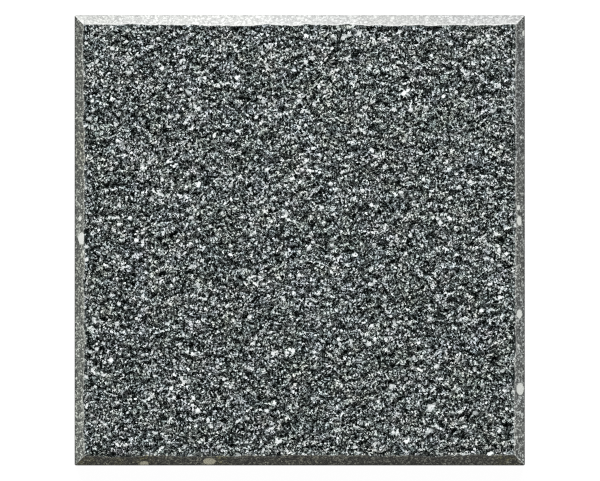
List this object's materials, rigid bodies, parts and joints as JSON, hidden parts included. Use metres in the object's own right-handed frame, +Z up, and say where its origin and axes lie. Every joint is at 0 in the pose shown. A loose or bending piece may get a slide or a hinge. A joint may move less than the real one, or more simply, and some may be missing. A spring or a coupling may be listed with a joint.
{
  "type": "porcelain paving tile",
  "caption": "Square porcelain paving tile with a rough granite-look tread face, a wide plain chamfer round its upper edge and a flat bedding face, for outdoor floors and paths.",
  "frame": {"origin": "centre of the flat bedding face, which lies on z = 0", "axes": "+Z up out of the tread face, X and Y along the tile's edges"},
  "size_m": [0.3, 0.3, 0.02],
  "materials": {
    "granite_porcelain": "unpolished full-body porcelain, dark granite speckle, rough tread face and smooth ground chamfers"
  },
  "bodies": {
    "root": {"paving_tile": "granite_porcelain"}
  },
  "joints": []
}
